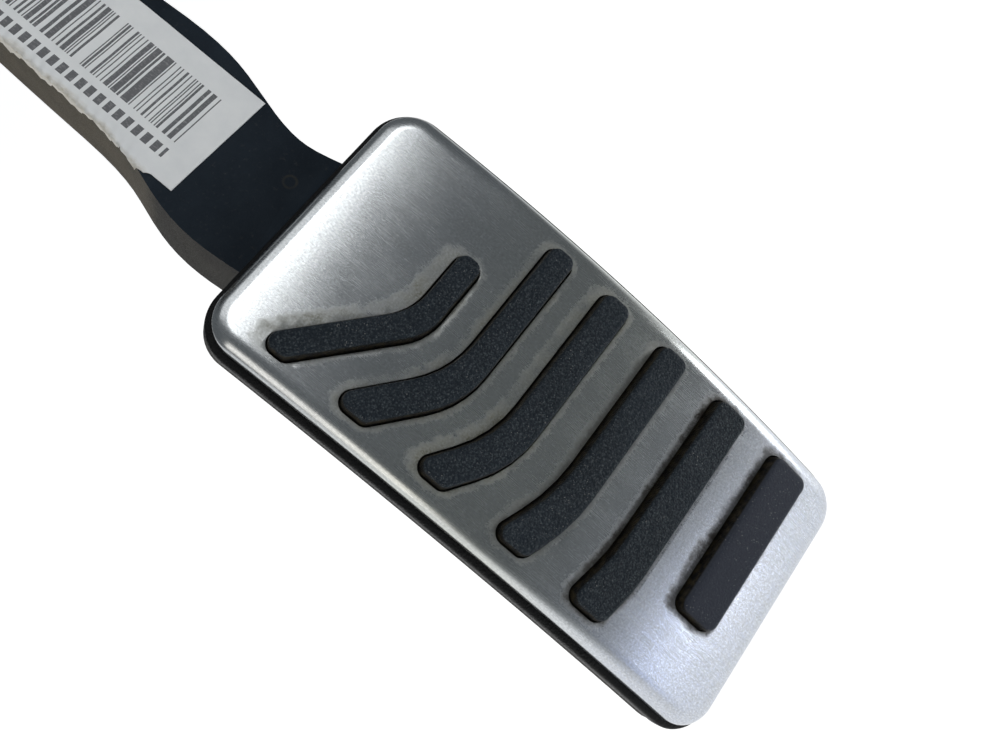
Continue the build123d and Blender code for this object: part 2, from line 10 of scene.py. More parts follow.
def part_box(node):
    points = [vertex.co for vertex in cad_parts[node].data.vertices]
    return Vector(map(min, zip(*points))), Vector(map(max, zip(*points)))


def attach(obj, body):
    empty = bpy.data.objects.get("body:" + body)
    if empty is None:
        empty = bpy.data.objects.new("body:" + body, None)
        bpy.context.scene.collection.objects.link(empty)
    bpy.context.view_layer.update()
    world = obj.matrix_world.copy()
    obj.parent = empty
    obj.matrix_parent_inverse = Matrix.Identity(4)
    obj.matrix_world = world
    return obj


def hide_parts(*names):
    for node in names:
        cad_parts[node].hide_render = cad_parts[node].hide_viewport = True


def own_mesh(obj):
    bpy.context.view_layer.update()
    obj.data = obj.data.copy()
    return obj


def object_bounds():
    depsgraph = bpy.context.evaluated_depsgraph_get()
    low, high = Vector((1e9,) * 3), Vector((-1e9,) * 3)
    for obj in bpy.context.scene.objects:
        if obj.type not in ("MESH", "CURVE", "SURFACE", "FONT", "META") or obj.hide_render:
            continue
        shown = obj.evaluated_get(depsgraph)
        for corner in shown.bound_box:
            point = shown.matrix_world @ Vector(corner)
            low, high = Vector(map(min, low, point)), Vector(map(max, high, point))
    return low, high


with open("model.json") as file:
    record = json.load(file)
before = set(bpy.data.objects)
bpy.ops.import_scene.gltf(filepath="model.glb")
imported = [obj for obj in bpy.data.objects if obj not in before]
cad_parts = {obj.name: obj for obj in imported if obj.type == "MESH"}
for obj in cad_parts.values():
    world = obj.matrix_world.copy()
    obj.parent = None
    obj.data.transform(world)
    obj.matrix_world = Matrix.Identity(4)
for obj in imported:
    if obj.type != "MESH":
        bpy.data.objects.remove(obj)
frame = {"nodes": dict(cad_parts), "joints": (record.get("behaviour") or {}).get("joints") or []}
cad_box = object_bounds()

# ==== The view ===========================================================================
# A hanging accelerator pedal: the pad leans back 30 degrees and hangs from a shaft behind the
# dashboard. Pad places are given in the pad's own frame: across, up the pad, and out of its face.
LEAN = math.radians(30)
SHAFT = Vector(next(j for j in frame["joints"] if j["name"] == "pedal_pivot")["pos_m"])
ACROSS = Vector((1, 0, 0))
UP_PAD = Vector((0, math.sin(LEAN), math.cos(LEAN)))
OUT_OF_PAD = Vector((0, -math.cos(LEAN), math.sin(LEAN)))
PAD_CENTRE = SHAFT - UP_PAD * 0.205 + OUT_OF_PAD * 0.035 - ACROSS * 0.005
PAD = Matrix.Translation(PAD_CENTRE) @ Matrix((ACROSS, UP_PAD, OUT_OF_PAD)).transposed().to_4x4()

EYE = PAD @ Vector((-0.05704, 0.04222, 0.16702))
AIM = PAD @ Vector((-0.0018, 0.01435, 0))
ROLL = math.radians(38.53)      # the camera's upright, from across towards up the pad
LENS = 34.53

scene = bpy.context.scene


def shown(name, data):
    """A new object in the scene."""
    thing = bpy.data.objects.new(name, data)
    scene.collection.objects.link(thing)
    return thing


camera = shown("camera", bpy.data.cameras.new("camera"))
scene.camera = camera
camera.data.lens = LENS
camera.data.sensor_width = 36
camera.data.clip_start = 0.01
sight = (AIM - EYE).normalized()
side = sight.cross(ACROSS * math.cos(ROLL) + UP_PAD * math.sin(ROLL)).normalized()
camera.matrix_world = Matrix.Translation(EYE) @ Matrix(
    (side, side.cross(sight), -sight)).transposed().to_4x4()
scene.view_settings.view_transform = "Standard"


# ==== Floor and light ====================================================================
# A pale floor well below the hanging pedal that glows with painted light of its own, dimmer in
# front of it and to its right, and a few soft windows at the places that the steel mirrors: low by
# the toe, and above the pad.
def shade(name):
    """A new material and its Principled shader."""
    material = bpy.data.materials.new(name)
    material.use_nodes = True
    return material, material.node_tree.nodes["Principled BSDF"]


def add(owner, kind, sockets, **settings):
    """Add a node to a material or a tree. A socket takes a value or an output to link from."""
    tree = getattr(owner, "node_tree", owner)
    node = tree.nodes.new(kind)
    for key, value in settings.items():
        setattr(node, key, value)
    for key, value in sockets.items():
        if isinstance(value, bpy.types.NodeSocket):
            tree.links.new(value, node.inputs[key])
        else:
            node.inputs[key].default_value = value
    return node


def link(material, output, socket):
    material.node_tree.links.new(output, socket)


def ramp(material, value, low, high, start=0.0, end=1.0):
    """Rescale a value and clamp it."""
    return add(material, "ShaderNodeMapRange", {"Value": value, "From Min": low, "From Max": high,
                                                "To Min": start, "To Max": end}).outputs[0]


def maths(material, a, b, operation="MULTIPLY"):
    """A sum on two values, which multiplies them unless told otherwise."""
    return add(material, "ShaderNodeMath", {0: a, 1: b}, operation=operation).outputs[0]


def axes(material, vector):
    return add(material, "ShaderNodeSeparateXYZ", {"Vector": vector}).outputs


def object_place(material):
    return add(material, "ShaderNodeTexCoord", {}).outputs["Object"]


def attribute(material, name, output="Fac"):
    return add(material, "ShaderNodeAttribute", {}, attribute_name=name).outputs[output]


def bumped(material, surface, height, strength, distance):
    """Raise a surface's grain in its shading."""
    bump = add(material, "ShaderNodeBump", {"Height": height, "Strength": strength,
                                            "Distance": distance})
    link(material, bump.outputs[0], surface.inputs["Normal"])


def mesh_object(name, verts, faces):
    mesh = bpy.data.meshes.new(name)
    mesh.from_pydata([tuple(v) for v in verts], [], faces)
    return shown(name, mesh)


FLOOR_DROP, FLOOR_HALF = 0.16, 6.0
floor_z = cad_box[0][2] - FLOOR_DROP
floor = mesh_object("floor", [(x, y, floor_z) for x, y in
                              ((-FLOOR_HALF, -FLOOR_HALF), (FLOOR_HALF, -FLOOR_HALF),
                               (FLOOR_HALF, FLOOR_HALF), (-FLOOR_HALF, FLOOR_HALF))],
                    [(0, 1, 2, 3)])
paint, surface = shade("pale_floor")
surface.inputs["Base Color"].default_value = (0.86, 0.86, 0.86, 1)
surface.inputs["Roughness"].default_value = 0.9
surface.inputs["Emission Color"].default_value = (1, 1, 1, 1)
# Painted light: the floor glows by its own emission, weaker far to its right and far in front.
spot = axes(paint, object_place(paint))
rightward = maths(paint, spot["X"], maths(paint, spot["Y"], -0.13), "ADD")
glow = maths(paint, ramp(paint, rightward, 0.6, 1.6, 0.86, 0.30),
             ramp(paint, spot["Y"], -1.8, -0.9, 0.22))
link(paint, glow, surface.inputs["Emission Strength"])
floor.data.materials.append(paint)


WINDOW_DISTANCE = 0.8


def window(name, towards, size, power, colour=(1, 1, 1)):
    """A soft rectangular light, placed in a direction from the pad's centre."""
    lamp = bpy.data.lights.new(name, "AREA")
    lamp.shape, lamp.size, lamp.size_y = "RECTANGLE", size[0], size[1]
    lamp.energy, lamp.color = power, colour
    thing = shown(name, lamp)
    place = PAD @ (Vector(towards).normalized() * WINDOW_DISTANCE)
    out = (place - PAD_CENTRE).normalized()
    across = out.cross(UP_PAD).normalized()
    thing.matrix_world = Matrix.Translation(place) @ Matrix(
        (across, out.cross(across), out)).transposed().to_4x4()


window("window_toe", (0.30, -0.755, 0.58), (0.22, 0.14), 1.60)
window("window_right", (0.80, -0.52, 0.32), (0.40, 0.30), 3.2)
window("window_blue", (0.05, -0.76, 0.64), (0.44, 0.24), 0.26, (0.32, 0.48, 1.0))
window("window_top", (0.25, 0.56, 0.79), (0.46, 0.20), 1.35)
window("window_behind", (0.12, 0.87, 0.47), (0.60, 0.44), 0.9)
window("window_left", (-0.95, 0.15, 0.28), (0.5, 0.5), 1.2, (1.0, 0.95, 0.88))

world = bpy.data.worlds.new("room")
scene.world = world
world.use_nodes = True
room = world.node_tree.nodes["Background"].inputs
room["Color"].default_value = (0.86, 0.93, 0.98, 1)
room["Strength"].default_value = 0.17

# ==== Steel pad cover ====================================================================
# Stainless sheet, 0.9 mm, pressed over the rubber: crowned along its length, its edge rolled
# down all round, six slots cut through. Brushed along the pad and dulled by shoes.
WIDTH, LENGTH, CORNER = 0.060, 0.1247, 0.0075
CROWN, SHEET, ROLL_WIDE, ROLL_DEEP, RIM = 0.343, 0.0009, 0.0035, 0.0027, 0.0040
FLAT_EDGE = 0.00035      # a level strip inside the roll
END_L, END_R = -0.0258, 0.0258
# upper edge, lower edge (down the pad), right end, left end, rise to the left in degrees,
# where the upper and lower edges bend, bend radius
SLOTS = [
    (-0.0348, -0.0288, 0.0124, END_L, 40.0, -0.0032, -0.0057, 0.012),
    (-0.0224, -0.0159, END_R, END_L, 39.0, -0.0075, -0.0112, 0.020),
    (-0.0087, -0.0014, END_R, END_L, 34.5, -0.0114, -0.0139, 0.024),
    (0.0066, 0.0142, END_R, END_L, 21.5, -0.0120, -0.0151, 0.036),
    (0.0228, 0.0315, END_R, END_L, 11.5, -0.0135, -0.0170, 0.040),
    (0.0402, 0.0507, END_R, -0.0131, 0.0, 0.0, 0.0, 0.0),
]
SLOT_END = 0.0025
GRID = 0.002
GRIME_RISE = (0.0024, 0.0014, 0.0018, 0.0008, 0.0008, 0.0016)   # dirt above each slot
half_x, half_y = WIDTH / 2 - CORNER, LENGTH / 2 - CORNER


def rounded(corners, radii, step=math.radians(9)):
    """Closed outline of straight runs joined by tangent arcs."""
    points = []
    for k, radius in enumerate(radii):
        before, corner, after = (Vector(corners[(k + d) % len(corners)]) for d in (-1, 0, 1))
        back, on = (before - corner).normalized(), (after - corner).normalized()
        turn = math.pi - back.angle(on)
        centre = corner + (back + on).normalized() * radius / math.cos(turn / 2)
        arm = corner + back * radius * math.tan(turn / 2) - centre
        sign = 1 if (-back).cross(on) > 0 else -1
        steps = max(2, math.ceil(turn / step))
        for i in range(steps + 1):
            points.append(centre + Matrix.Rotation(sign * turn * i / steps, 2) @ arm)
    return points


def slot_outline(top, bottom, right, left, rise, top_bend, bottom_bend, radius):
    """Outline of a slot, x across and y up the pad."""
    top, bottom = -top, -bottom
    if not rise:
        corners = [(left, bottom), (right, bottom), (right, top), (left, top)]
        return rounded(corners, [SLOT_END] * 4)
    lift = math.tan(math.radians(rise))
    corners = [(left, bottom + (bottom_bend - left) * lift), (bottom_bend, bottom),
               (right, bottom), (right, top), (top_bend, top),
               (left, top + (top_bend - left) * lift)]
    return rounded(corners, [SLOT_END, radius, SLOT_END, SLOT_END, radius, SLOT_END])


def inset(points, depth):
    """The outline moved inwards, square to itself."""
    moved = []
    for k, point in enumerate(points):
        along = points[(k + 1) % len(points)] - points[k - 1]
        moved.append(point + Vector((-along.y, along.x)).normalized() * depth)
    return moved


def pad_outline(grow, step=math.radians(6)):
    x, y = WIDTH / 2 + grow, LENGTH / 2 + grow
    return rounded([(-x, -y), (x, -y), (x, y), (-x, y)], [CORNER + grow] * 4, step)


def loop_edges(bm, points, z):
    verts = [bm.verts.new((p[0], p[1], z)) for p in points]
    for k, vert in enumerate(verts):
        bm.edges.new((verts[k - 1], vert))
    return verts


def slice_up(bm, pitch_x, pitch_y, reach=0.07):
    """Cut every face along a grid, so that the flat mesh can be bent."""
    for axis, pitch in ((0, pitch_x), (1, pitch_y)):
        for k in range(-int(reach / pitch), int(reach / pitch) + 1):
            place = Vector((0, 0, 0))
            place[axis] = (k + 0.5) * pitch
            normal = Vector((0, 0, 0))
            normal[axis] = 1
            bmesh.ops.bisect_plane(bm, geom=bm.verts[:] + bm.edges[:] + bm.faces[:],
                                   plane_co=place, plane_no=normal, dist=1e-7)


def bend_over_crown(co):
    """Wrap flat points (across, up, out) over the pad's crown, then hang them in place."""
    turn = co[:, 1] / CROWN
    bent = np.empty_like(co)
    bent[:, 0] = co[:, 0]
    bent[:, 1] = (CROWN + co[:, 2]) * np.sin(turn)
    bent[:, 2] = (CROWN + co[:, 2]) * np.cos(turn) - CROWN
    return bent @ np.array(PAD.to_3x3()).T + np.array(PAD.translation)


def note(mesh, name, values, kind="FLOAT", field="value"):
    """Keep a value or a vector on each point of a mesh, for its material or its tree."""
    mesh.attributes.new(name, kind, "POINT").data.foreach_set(
        field, np.array(values, dtype=np.float32).ravel())


def finish_pad_piece(name, flat, slot_lines=None):
    """Bend a flat mesh over the crown, with its flat place kept as the piece's UV map."""
    co = np.array([v.co for v in flat.vertices])
    if slot_lines is not None:
        gap = np.full(len(co), 1.0)
        kind = np.zeros(len(co))
        for k, line in enumerate(slot_lines):
            for rise in np.arange(0, GRIME_RISE[k] + 1e-6, 0.0008):
                near = distance_to(line, co[:, :2] - np.array((0, rise)))
                kind = np.where(near < gap, k, kind)
                gap = np.minimum(near, gap)
        note(flat, "slot_gap", gap)
        note(flat, "slot_row", kind)
    note(flat, "rise", co[:, 2])
    uv = flat.uv_layers.new(name="UVMap")
    corner = np.array([loop.vertex_index for loop in flat.loops])
    inner = np.array((half_x, half_y))
    beyond = co[:, :2] - np.clip(co[:, :2], -inner, inner)
    reach = np.maximum(np.linalg.norm(beyond, axis=1, keepdims=True), 1e-9)
    unrolled = co[:, :2] + beyond / reach * np.maximum(-co[:, 2:], 0)
    uv.data.foreach_set("uv", unrolled[corner].astype(np.float32).ravel())
    flat.vertices.foreach_set("co", bend_over_crown(co).astype(np.float32).ravel())
    flat.name = name
    flat.update()
    flat.shade_smooth()
    return shown(name, flat)


def distance_to(line, points):
    """Distance from each point to a closed outline."""
    a = np.array([tuple(p) for p in line])
    b = np.roll(a, -1, axis=0)
    best = np.full(len(points), 1.0)
    for p, q in zip(a, b):
        run = q - p
        t = np.clip(((points - p) @ run) / max(run @ run, 1e-18), 0, 1)
        best = np.minimum(best, np.linalg.norm(points - p - t[:, None] * run, axis=1))
    return best


def baked(piece):
    """The evaluated mesh of a temporary object, which is then removed."""
    bpy.context.view_layer.update()
    mesh = bpy.data.meshes.new_from_object(
        piece.evaluated_get(bpy.context.evaluated_depsgraph_get()))
    bpy.data.objects.remove(piece)
    return mesh


slot_lines = [slot_outline(*slot) for slot in SLOTS]
bm = bmesh.new()
for line in slot_lines + [pad_outline(-ROLL_WIDE - FLAT_EDGE)]:
    loop_edges(bm, line, 0)
bmesh.ops.triangle_fill(bm, use_beauty=True, edges=bm.edges[:])
slice_up(bm, GRID, GRID)
for face in bm.faces:
    if face.normal.z < 0:
        face.normal_flip()
rim_edges = [e for e in bm.edges if e.is_boundary and
             all(abs(v.co.x) > WIDTH / 2 - ROLL_WIDE - FLAT_EDGE - 1e-5
                 or abs(v.co.y) > LENGTH / 2 - ROLL_WIDE - FLAT_EDGE - 1e-5
                 or (abs(v.co.x) > half_x - 1e-6 and abs(v.co.y) > half_y - 1e-6)
                 for v in e.verts)]
outwards = {}
for edge in rim_edges:
    for v in edge.verts:
        x = max(abs(v.co.x) - half_x, 0) * math.copysign(1, v.co.x)
        y = max(abs(v.co.y) - half_y, 0) * math.copysign(1, v.co.y)
        outwards[v] = Vector((x, y)).normalized()
rows = [(FLAT_EDGE + ROLL_WIDE * math.sin(t), ROLL_DEEP * (math.cos(t) - 1))
        for t in (math.radians(a) for a in range(0, 91, 10))] + [(FLAT_EDGE + ROLL_WIDE, -RIM)]
ring = {v: v for v in outwards}
for out, drop in rows:
    lower = {v: bm.verts.new((v.co.x + outwards[v].x * out, v.co.y + outwards[v].y * out, drop))
             for v in outwards}
    for edge in rim_edges:
        a, b = edge.verts
        face = bm.faces.new((ring[a], ring[b], lower[b], lower[a]))
        face.normal_update()
        middle = face.calc_center_median()
        if face.normal.dot(Vector((middle.x - math.copysign(half_x, middle.x) * 0.9,
                                   middle.y - math.copysign(half_y, middle.y) * 0.9, 0.004))) < 0:
            face.normal_flip()
    ring = lower
bmesh.ops.recalc_face_normals(bm, faces=bm.faces[:])
if sum(f.normal.z * f.calc_area() for f in bm.faces) < 0:
    bmesh.ops.reverse_faces(bm, faces=bm.faces[:])
flat = bpy.data.meshes.new("cover_flat")
bm.to_mesh(flat)
bm.free()
sheet = shown("cover_flat", flat)
wall = sheet.modifiers.new("wall", "SOLIDIFY")
wall.thickness, wall.offset, wall.use_even_offset = SHEET, -1, True
edge = sheet.modifiers.new("edge", "BEVEL")
edge.width, edge.segments, edge.limit_method = 0.00022, 2, "ANGLE"
edge.angle_limit = math.radians(60)
pad_cover = finish_pad_piece("steel_pad_cover", baked(sheet), slot_lines)

steel, surface = shade("brushed_steel")
place = add(steel, "ShaderNodeUVMap", {}, uv_map="UVMap").outputs["UV"]


def stretched(material, where, scale, detail, turn=0.0, rough=0.6):
    """Noise pulled out into streaks: scale is the number of cells per metre on each axis."""
    mapping = add(material, "ShaderNodeMapping", {"Vector": where, "Scale": scale,
                                                  "Rotation": (0, 0, turn)})
    return add(material, "ShaderNodeTexNoise", {"Vector": mapping.outputs[0], "Scale": 1.0,
                                                "Detail": detail, "Roughness": rough}).outputs[0]


def mixed(material, share, a, b, blend="MIX"):
    return add(material, "ShaderNodeMixRGB", {"Fac": share, "Color1": a, "Color2": b},
               blend_type=blend).outputs[0]


grain = stretched(steel, place, (9000, 160, 1), 3)
streaks = stretched(steel, place, (1500, 22, 1), 4)
clouds = stretched(steel, place, (70, 45, 1), 5)
smudges = stretched(steel, place, (420, 330, 1), 8, 0.0, 0.75)
crumbs = stretched(steel, place, (2300, 2100, 1), 4, 0.0, 0.7)
scratch_a = ramp(steel, stretched(steel, place, (150, 6500, 1), 1, 0.62), 0.66, 0.74)
scratch_b = ramp(steel, stretched(steel, place, (120, 5600, 1), 1, -0.45), 0.68, 0.76)
scratches = maths(steel, scratch_a, scratch_b, "MAXIMUM")
scratches = maths(steel, scratches, ramp(steel, clouds, 0.42, 0.58))
gap = attribute(steel, "slot_gap")
row = attribute(steel, "slot_row")
ragged = maths(steel, gap, maths(steel, ramp(steel, smudges, 0.3, 0.7, -0.0007, 0.0007),
                                 ramp(steel, crumbs, 0.3, 0.7, -0.0004, 0.0004), "ADD"), "ADD")
by_slot = ramp(steel, ragged, 0.0001, 0.0013, 1.0, 0.0)
patchy = ramp(steel, clouds, 0.38, 0.60, 0.25, 1.0)
halo = maths(steel, by_slot, ramp(steel, row, 2.4, 3.1, 1.0, 0.15))
halo = maths(steel, halo, maths(steel, patchy, 0.92))
halo = maths(steel, halo, ramp(steel, crumbs, 0.32, 0.58, 0.30, 1.0))
crust = maths(steel, by_slot, ramp(steel, row, 2.6, 3.4, 0.0, 1.0))
crust = maths(steel, crust, ramp(steel, patchy, 0.0, 1.0, 0.55, 0.97))
pale = stretched(steel, place, (3400, 1500, 1), 3)
specks = ramp(steel, stretched(steel, place, (900, 900, 1), 2), 0.735, 0.77)
along = axes(steel, place)["Y"]
# Toned from blue at the toe, a painted reflection, to grey-green in the middle, then one layer
# over
# another: the grey of the upper end, brushing, smudges, scratches, olive residue, black dirt and
# rust specks.
tone = mixed(steel, ramp(steel, along, -0.040, -0.005), (0.495, 0.53, 0.61, 1),
             (0.53, 0.55, 0.50, 1))
for share, colour in ((ramp(steel, along, 0.015, 0.040), (0.54, 0.565, 0.575)),
                      (ramp(steel, streaks, 0.3, 0.7, 0.0, 0.35), (0.63, 0.65, 0.67)),
                      (ramp(steel, grain, 0.35, 0.65, 0.0, 0.35), (0.38, 0.40, 0.42)),
                      (ramp(steel, smudges, 0.45, 0.75, 0.0, 0.45), (0.43, 0.44, 0.43)),
                      (ramp(steel, crumbs, 0.42, 0.62, 0.0, 0.50), (0.30, 0.31, 0.32)),
                      (ramp(steel, pale, 0.52, 0.66, 0.0, 0.40), (0.78, 0.80, 0.82)),
                      (maths(steel, scratches, 0.40), (0.90, 0.91, 0.92)),
                      (halo, (0.165, 0.160, 0.112)),
                      (crust, (0.028, 0.022, 0.014)),
                      (maths(steel, specks, 0.7), (0.12, 0.10, 0.08))):
    tone = mixed(steel, share, tone, (*colour, 1))
link(steel, tone, surface.inputs["Base Color"])
dull = maths(steel, halo, crust, "MAXIMUM")
link(steel, ramp(steel, dull, 0.0, 0.6, 1.0, 0.35), surface.inputs["Metallic"])
rough = maths(steel, ramp(steel, grain, 0.3, 0.7, 0.19, 0.29),
              ramp(steel, clouds, 0.3, 0.7, -0.03, 0.05), "ADD")
link(steel, maths(steel, rough, maths(steel, dull, 0.35), "ADD"), surface.inputs["Roughness"])
surface.inputs["Anisotropic"].default_value = 0.4
tangent = add(steel, "ShaderNodeTangent", {}, direction_type="UV_MAP", uv_map="UVMap")
link(steel, tangent.outputs[0], surface.inputs["Tangent"])
height = maths(steel, maths(steel, grain, 0.25), maths(steel, maths(steel, dull, crumbs), 0.6),
               "ADD")
bumped(steel, surface, height, 0.16, 0.00004)
pad_cover.data.materials.clear()
pad_cover.data.materials.append(steel)
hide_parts("pad_cover")
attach(pad_cover, "pedal_body")

# ==== Tread rubber =======================================================================
# One black rubber moulding under the steel: six ribs that stand 2.6 mm out of the slots with a
# leather grain on top, and a lip all round that shows below the steel's rolled edge.
RIB_WALL = [(0.00035, -0.0015), (0.00042, 0.0008), (0.00055, 0.0018), (0.00068, 0.00225),
            (0.00092, 0.0025), (0.00125, 0.0026)]
LIP = [(-0.0010, -0.00405), (0.0009, -0.0041), (0.0013, -0.0043), (0.0015, -0.0048),
       (0.0015, -0.0068), (0.0013, -0.0074), (0.0009, -0.0077), (-0.0010, -0.0077)]
MAT_TOP, MAT_BOTTOM, MAT_INSET = -0.00095, -0.0065, -0.0028


def band(bm, lower, upper):
    for k in range(len(lower)):
        bm.faces.new((lower[k - 1], lower[k], upper[k], upper[k - 1]))


bm = bmesh.new()
for slot in SLOTS:
    line = slot_outline(*slot)
    rings = [loop_edges(bm, inset(line, depth), z) for depth, z in RIB_WALL]
    for lower, upper in zip(rings, rings[1:]):
        band(bm, lower, upper)
    for cap in (rings[0], rings[-1]):
        edges = [bm.edges.get((cap[k - 1], cap[k])) for k in range(len(cap))]
        bmesh.ops.triangle_fill(bm, use_beauty=True, edges=edges)
lip_rings = [loop_edges(bm, pad_outline(grow), z) for grow, z in LIP]
for lower, upper in zip(lip_rings, lip_rings[1:] + lip_rings[:1]):
    band(bm, lower, upper)
mat = [loop_edges(bm, pad_outline(MAT_INSET), z) for z in (MAT_BOTTOM, MAT_TOP)]
band(bm, *mat)
for cap in mat:
    bmesh.ops.triangle_fill(bm, use_beauty=True,
                            edges=[bm.edges.get((cap[k - 1], cap[k])) for k in range(len(cap))])
slice_up(bm, 0.004, GRID)
bmesh.ops.recalc_face_normals(bm, faces=bm.faces[:])
flat = bpy.data.meshes.new("tread_flat")
bm.to_mesh(flat)
bm.free()
tread = finish_pad_piece("ribbed_tread_rubber", flat)
tread.data.set_sharp_from_angle(angle=math.radians(50))

rubber, surface = shade("tread_rubber")
place = object_place(rubber)
pores = add(rubber, "ShaderNodeTexVoronoi", {"Vector": place, "Scale": 2400.0},
            feature="SMOOTH_F1").outputs["Distance"]
folds = stretched(rubber, place, (3000, 3000, 3000), 3)
worn = stretched(rubber, place, (55, 55, 55), 4)
grit = ramp(rubber, stretched(rubber, place, (2600, 2600, 2600), 2), 0.665, 0.72)
patches = ramp(rubber, stretched(rubber, place, (130, 130, 130), 3), 0.40, 0.62)
toe = axes(rubber, add(rubber, "ShaderNodeUVMap", {}, uv_map="UVMap").outputs["UV"])["Y"]
smooth_end = ramp(rubber, toe, -0.038, -0.033, 1.0, 0.0)
tone = mixed(rubber, ramp(rubber, worn, 0.3, 0.7), (0.0055, 0.0100, 0.0150, 1),
             (0.0105, 0.0165, 0.0240, 1))
# Painted highlights: light spots over the leather grain stand in for its glints.
grain_glints = ramp(rubber, pores, 0.15, 0.6, 1.0, 0.0)
tone = mixed(rubber, maths(rubber, grain_glints, ramp(rubber, folds, 0.42, 0.66, 0.0, 0.9)), tone,
             (0.075, 0.090, 0.098, 1))
tone = mixed(rubber, maths(rubber, smooth_end, 0.8), tone, (0.030, 0.034, 0.048, 1))
tone = mixed(rubber, maths(rubber, maths(rubber, grit, patches), 0.85), tone,
             (0.26, 0.26, 0.25, 1))
rise = attribute(rubber, "rise")
# Painted shade with dirt: below the ribs' tops the walls, the mat and the lip are painted
# near-black, where they lie in shadow, with brown dirt in patches on the walls.
wall = ramp(rubber, rise, 0.00195, 0.00235, 1.0, 0.0)
soil = ramp(rubber, stretched(rubber, place, (700, 700, 700), 5), 0.42, 0.66)
wall_shade_and_dirt = mixed(rubber, soil, (0.0025, 0.0025, 0.0025, 1), (0.026, 0.021, 0.011, 1))
lip_side = ramp(rubber, rise, -0.0012, -0.0008)
wall_shade_and_dirt = mixed(rubber, lip_side, (0.004, 0.0045, 0.005, 1), wall_shade_and_dirt)
tone = mixed(rubber, wall, tone, wall_shade_and_dirt)
link(rubber, tone, surface.inputs["Base Color"])
link(rubber, ramp(rubber, folds, 0.3, 0.7, 0.36, 0.58), surface.inputs["Roughness"])
surface.inputs["Specular IOR Level"].default_value = 0.14
relief = maths(rubber, maths(rubber, pores, 0.8), maths(rubber, folds, 0.7), "ADD")
relief = maths(rubber, relief, ramp(rubber, smooth_end, 0.0, 1.0, 1.0, 0.25))
bumped(rubber, surface, relief, 0.9, 0.00035)
tread.data.materials.append(rubber)
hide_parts("tread_rubber")
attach(tread, "pedal_body")


# ==== Moulded and turned pieces ==========================================================
# The arm, housing, sensor cover and small hardware keep the CAD's shape. Each is taken as one
# welded skin with smooth curved walls, so light runs over it as over a moulding.
def welded(node, name, smooth_below=28):
    """A copy of a CAD node with its triangles joined and its curved walls shaded smooth."""
    mesh = frame["nodes"][node].data.copy()
    mesh.name = name
    bm = bmesh.new()
    bm.from_mesh(mesh)
    bmesh.ops.remove_doubles(bm, verts=bm.verts[:], dist=2e-6)
    bmesh.ops.dissolve_degenerate(bm, edges=bm.edges[:], dist=1e-6)
    bm.to_mesh(mesh)
    bm.free()
    mesh.materials.clear()
    mesh.shade_smooth()
    mesh.set_sharp_from_angle(angle=math.radians(smooth_below))
    piece = shown(name, mesh)
    even = piece.modifiers.new("even_shading", "WEIGHTED_NORMAL")
    even.keep_sharp, even.weight = True, 80
    piece = shown(name, baked(piece))
    piece.data.name = name
    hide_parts(node)
    return piece


def grained(name, dark, light, roughness, grain_size, depth, dust=0.0,
            dust_tone=(0.2, 0.18, 0.15)):
    """Moulded plastic or rubber: spark grain, slight mottling, dust that gathers in patches."""
    material, surface = shade(name)
    place = object_place(material)
    spark = stretched(material, place, (1 / grain_size,) * 3, 3)
    mottle = stretched(material, place, (60,) * 3, 5)
    tone = mixed(material, ramp(material, mottle, 0.3, 0.7), (*dark, 1), (*light, 1))
    flecks = ramp(material, stretched(material, place, (900,) * 3, 4, 0.0, 0.8), 0.58, 0.75)
    tone = mixed(material, maths(material, flecks, dust), tone, (*dust_tone, 1))
    link(material, tone, surface.inputs["Base Color"])
    low, high = roughness
    link(material, ramp(material, spark, 0.3, 0.7, low, high), surface.inputs["Roughness"])
    surface.inputs["Specular IOR Level"].default_value = 0.12
    bumped(material, surface, spark, 0.6, depth)
    return material, surface, tone


CREASE_UP = 0.0905
EJECTOR_PIN, EJECTOR_RADIUS = (0.005, 0.068, -0.0162), 0.0013
arm = welded("pedal_arm", "moulded_pedal_arm")
nylon, surface, tone = grained("arm_nylon", (0.0100, 0.0150, 0.0215), (0.0185, 0.0260, 0.0350),
                               (0.46, 0.66), 0.00035, 0.00012, 0.10)
surface.inputs["Specular IOR Level"].default_value = 0.04
# Clay dust on the left-facing wall with painted light over it: paler above the crease, painted
# shade below it. One ejector pin's ring marks the front.
leftward = axes(nylon, add(nylon, "ShaderNodeNewGeometry", {}).outputs["Normal"])["X"]
left_facing_wall = ramp(nylon, leftward, -0.45, -0.85)
where = object_place(nylon)
streaky = stretched(nylon, where, (500, 90, 90), 5)
up_arm = add(nylon, "ShaderNodeVectorMath", {0: where, 1: UP_PAD}, operation="DOT_PRODUCT")
up_arm = maths(nylon, up_arm.outputs["Value"], maths(nylon, streaky, 0.010), "ADD")
crease = PAD_CENTRE.dot(UP_PAD) + CREASE_UP
upper = ramp(nylon, up_arm, crease - 0.003, crease + 0.003)
# Painted light and shade on the left wall: paler above the crease, darker than the nylon below it.
clay_with_painted_light = mixed(nylon, upper, (0.008, 0.0062, 0.003, 1), (0.085, 0.072, 0.050, 1))
clay_with_painted_light = mixed(nylon, ramp(nylon, streaky, 0.35, 0.65, 0.0, 0.45), clay_with_painted_light, (0.030, 0.027, 0.019, 1))
tone = mixed(nylon, maths(nylon, left_facing_wall, 0.92), tone, clay_with_painted_light)
ejector = PAD @ Vector(EJECTOR_PIN)
from_pin = add(nylon, "ShaderNodeVectorMath", {0: where, 1: ejector}, operation="DISTANCE")
off_ring = maths(nylon, from_pin.outputs["Value"], EJECTOR_RADIUS, "SUBTRACT")
off_ring = maths(nylon, off_ring, 0, "ABSOLUTE")
ring_mark = maths(nylon, ramp(nylon, off_ring, 0.0001, 0.0004, 1.0, 0.0),
                  ramp(nylon, streaky, 0.35, 0.6))
tone = mixed(nylon, maths(nylon, ring_mark, 0.5), tone, (0.045, 0.042, 0.034, 1))
link(nylon, tone, surface.inputs["Base Color"])
arm.data.materials.append(nylon)
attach(arm, "pedal_body")

